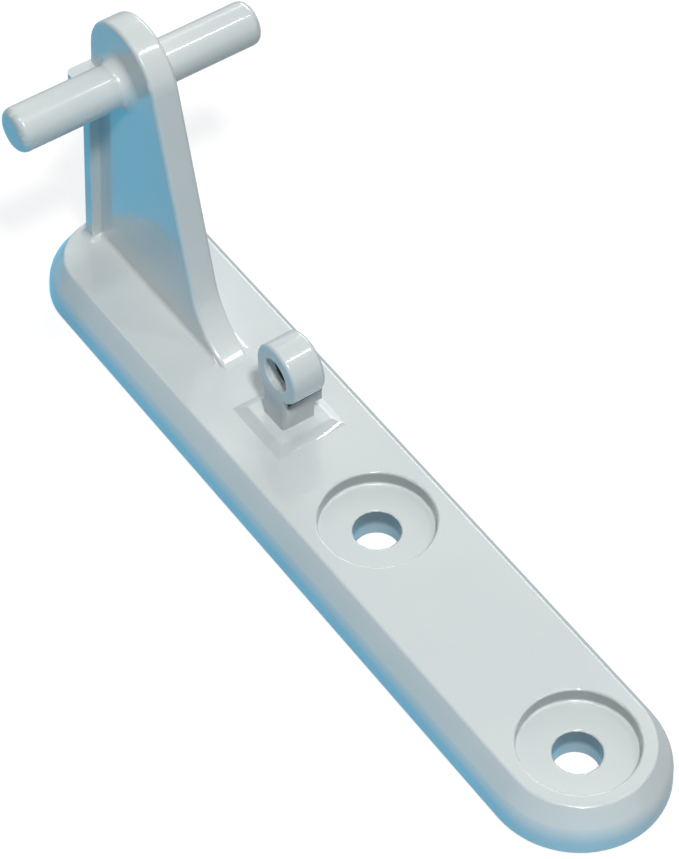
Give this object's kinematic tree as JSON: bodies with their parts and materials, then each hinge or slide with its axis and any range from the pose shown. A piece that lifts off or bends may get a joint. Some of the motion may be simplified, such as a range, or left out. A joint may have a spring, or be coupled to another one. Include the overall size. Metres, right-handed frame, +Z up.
{
  "type": "fridge door hinge",
  "caption": "Cast hinge bracket of a fridge door: a long screw-down plate with an upright web that carries the cross pin the door turns on, and an eyelet for a link.",
  "frame": {"origin": "middle of the base plate, on the face that it is screwed down on", "axes": "+X along the plate to its round end, +Y along the cross pin, +Z up, away from the surface that the plate is screwed to"},
  "size_m": [0.1188, 0.0356, 0.0489],
  "materials": {
    "painted_casting": "gloss"
  },
  "bodies": {
    "root": {"hinge_bracket": "painted_casting"}
  },
  "joints": []
}
